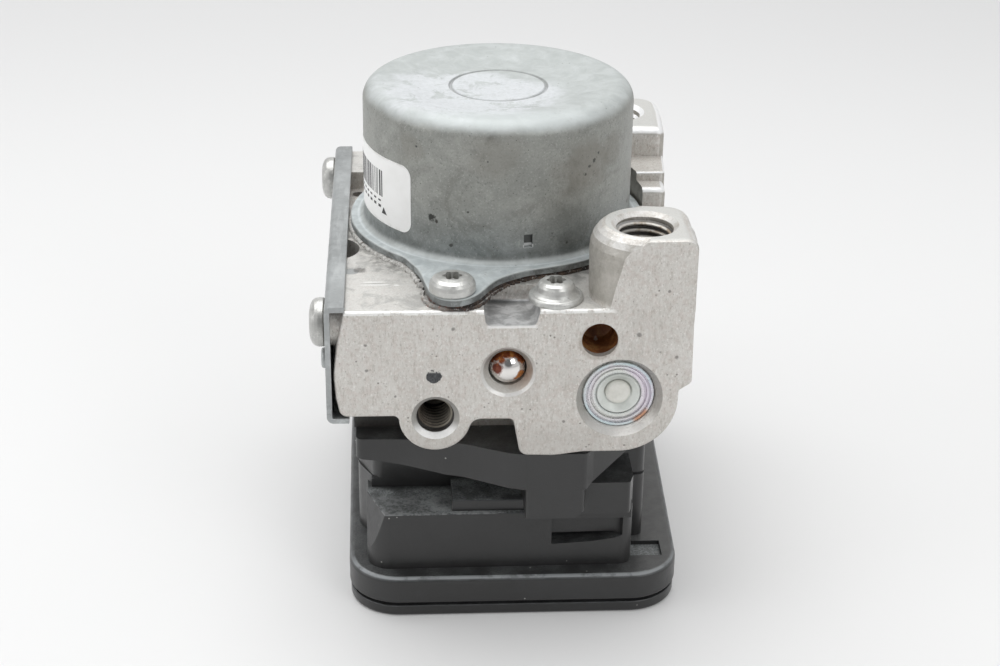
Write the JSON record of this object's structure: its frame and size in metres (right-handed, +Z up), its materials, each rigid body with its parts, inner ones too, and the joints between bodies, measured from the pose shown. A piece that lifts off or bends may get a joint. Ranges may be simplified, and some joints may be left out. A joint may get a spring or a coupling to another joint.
{
  "type": "abs brake module",
  "caption": "Anti-lock brake modulator: machined valve block with pipe ports, round pump motor on top, side bracket, and black control unit it stands on.",
  "frame": {"origin": "on the motor axis, on the underside of the control-unit cover", "axes": "+Z up along the motor axis, -Y out of the pictured front face, +Y towards the connector"},
  "size_m": [0.0831, 0.1283, 0.1112],
  "materials": {
    "aluminium_block": "machined and blasted, fine sparkle",
    "zinc_can": "zinc plated, dull, corrosion bloom",
    "gasket": "dark coating with rusty edge",
    "screw_steel": "zinc plated, satin",
    "bracket_zinc": "zinc plated sheet, satin",
    "ball_steel": "polished with rust stains",
    "plug_zinc": "turned, iridescent zinc",
    "button_white": "off-white",
    "black_plastic": "moulded, satin, dusty",
    "cover_plastic": "moulded, satin",
    "black_rubber": "matt",
    "label_paper": null,
    "steel": "ground",
    "spring_steel": "drawn wire",
    "copper": "enamelled copper",
    "magnet": "ferrite",
    "carbon": "carbon, matt",
    "brush_plate": "moulded",
    "board": "solder mask",
    "chips": "epoxy",
    "pins": "tinned"
  },
  "bodies": {
    "module": {"accumulator_plugs": "plug_zinc", "accumulator_springs": "spring_steel", "board_parts": "chips", "bracket_screws": "screw_steel", "brush_plate": "brush_plate", "brush_springs": "spring_steel", "channel_ball_plugs": "ball_steel", "circuit_board": "board", "coil_yokes": "steel", "collar_screws": "screw_steel", "connector_pins": "pins", "control_cover": "cover_plastic", "control_housing": "black_plastic", "cover_seal": "black_rubber", "field_magnets": "magnet", "front_ball_plug": "ball_steel", "housing_seal": "black_rubber", "inlet_valve_bodies": "steel", "label": "label_paper", "lower_bearing": "steel", "motor_can": "zinc_can", "motor_gasket": "gasket", "motor_screws": "screw_steel", "outlet_valve_bodies": "steel", "plug_buttons": "button_white", "pump_plugs": "plug_zinc", "pump_sleeves": "steel", "pump_springs": "spring_steel", "side_bracket": "bracket_zinc", "solenoid_coils": "copper", "upper_bearing": "steel", "valve_block": "aluminium_block", "valve_springs": "spring_steel"},
    "rotor": {"rotor_shaft": "steel", "rotor_core": "steel", "rotor_winding": "copper", "commutator": "copper"},
    "drive_ring": {"drive_ring": "steel"},
    "pump_piston_left": {"pump_piston_left": "steel"},
    "pump_piston_right": {"pump_piston_right": "steel"},
    "accumulator_front": {"accumulator_piston_front": "steel", "accumulator_ring_front": "black_rubber"},
    "accumulator_rear": {"accumulator_piston_rear": "steel", "accumulator_ring_rear": "black_rubber"},
    "brush_front": {"brush_front": "carbon"},
    "brush_rear": {"brush_rear": "carbon"},
    "inlet_armature_1": {"inlet_armature_1": "steel"},
    "outlet_armature_1": {"outlet_armature_1": "steel"},
    "inlet_armature_2": {"inlet_armature_2": "steel"},
    "outlet_armature_2": {"outlet_armature_2": "steel"},
    "inlet_armature_3": {"inlet_armature_3": "steel"},
    "outlet_armature_3": {"outlet_armature_3": "steel"},
    "inlet_armature_4": {"inlet_armature_4": "steel"},
    "outlet_armature_4": {"outlet_armature_4": "steel"}
  },
  "joints": [
    {"name": "rotor_spin", "type": "hinge", "parent": "module", "child": "rotor", "pos_m": [0, 0, 0.0775], "axis": [0, 0, 1], "continuous": true},
    {"name": "drive_ring_turn", "type": "hinge", "parent": "rotor", "child": "drive_ring", "pos_m": [0, 0.0009, 0.0635], "axis": [0, 0, 1], "continuous": true},
    {"name": "pump_left_stroke", "type": "slide", "parent": "module", "child": "pump_piston_left", "axis": [-1, 0, 0], "range_m": [0, 0.0018], "stiffness_N_per_m": 3000, "springref_m": -0.001, "deforming": ["pump_springs"]},
    {"name": "pump_right_stroke", "type": "slide", "parent": "module", "child": "pump_piston_right", "axis": [1, 0, 0], "range_m": [0, 0.0018], "stiffness_N_per_m": 3000, "springref_m": -0.001, "deforming": ["pump_springs"]},
    {"name": "accumulator_front_stroke", "type": "slide", "parent": "module", "child": "accumulator_front", "axis": [0, -1, 0], "range_m": [0, 0.005], "stiffness_N_per_m": 2500, "springref_m": -0.003, "deforming": ["accumulator_springs"]},
    {"name": "accumulator_rear_stroke", "type": "slide", "parent": "module", "child": "accumulator_rear", "axis": [0, 1, 0], "range_m": [0, 0.005], "stiffness_N_per_m": 2500, "springref_m": -0.003, "deforming": ["accumulator_springs"]},
    {"name": "brush_front_travel", "type": "slide", "parent": "module", "child": "brush_front", "axis": [0, -1, 0], "range_m": [0, 0.002], "stiffness_N_per_m": 300, "springref_m": -0.002, "deforming": ["brush_springs"]},
    {"name": "brush_rear_travel", "type": "slide", "parent": "module", "child": "brush_rear", "axis": [0, 1, 0], "range_m": [0, 0.002], "stiffness_N_per_m": 300, "springref_m": -0.002, "deforming": ["brush_springs"]},
    {"name": "inlet_valve_1", "type": "slide", "parent": "module", "child": "inlet_armature_1", "axis": [0, 0, 1], "range_m": [0, 0.0004], "stiffness_N_per_m": 3000, "springref_m": -0.0006, "deforming": ["valve_springs"]},
    {"name": "outlet_valve_1", "type": "slide", "parent": "module", "child": "outlet_armature_1", "axis": [0, 0, -1], "range_m": [0, 0.0004], "stiffness_N_per_m": 3000, "springref_m": -0.0006, "deforming": ["valve_springs"]},
    {"name": "inlet_valve_2", "type": "slide", "parent": "module", "child": "inlet_armature_2", "axis": [0, 0, 1], "range_m": [0, 0.0004], "stiffness_N_per_m": 3000, "springref_m": -0.0006, "deforming": ["valve_springs"]},
    {"name": "outlet_valve_2", "type": "slide", "parent": "module", "child": "outlet_armature_2", "axis": [0, 0, -1], "range_m": [0, 0.0004], "stiffness_N_per_m": 3000, "springref_m": -0.0006, "deforming": ["valve_springs"]},
    {"name": "inlet_valve_3", "type": "slide", "parent": "module", "child": "inlet_armature_3", "axis": [0, 0, 1], "range_m": [0, 0.0004], "stiffness_N_per_m": 3000, "springref_m": -0.0006, "deforming": ["valve_springs"]},
    {"name": "outlet_valve_3", "type": "slide", "parent": "module", "child": "outlet_armature_3", "axis": [0, 0, -1], "range_m": [0, 0.0004], "stiffness_N_per_m": 3000, "springref_m": -0.0006, "deforming": ["valve_springs"]},
    {"name": "inlet_valve_4", "type": "slide", "parent": "module", "child": "inlet_armature_4", "axis": [0, 0, 1], "range_m": [0, 0.0004], "stiffness_N_per_m": 3000, "springref_m": -0.0006, "deforming": ["valve_springs"]},
    {"name": "outlet_valve_4", "type": "slide", "parent": "module", "child": "outlet_armature_4", "axis": [0, 0, -1], "range_m": [0, 0.0004], "stiffness_N_per_m": 3000, "springref_m": -0.0006, "deforming": ["valve_springs"]}
  ],
  "couplings": [
    {"joint": "drive_ring_turn", "follows": "rotor_spin", "ratio": -1}
  ]
}
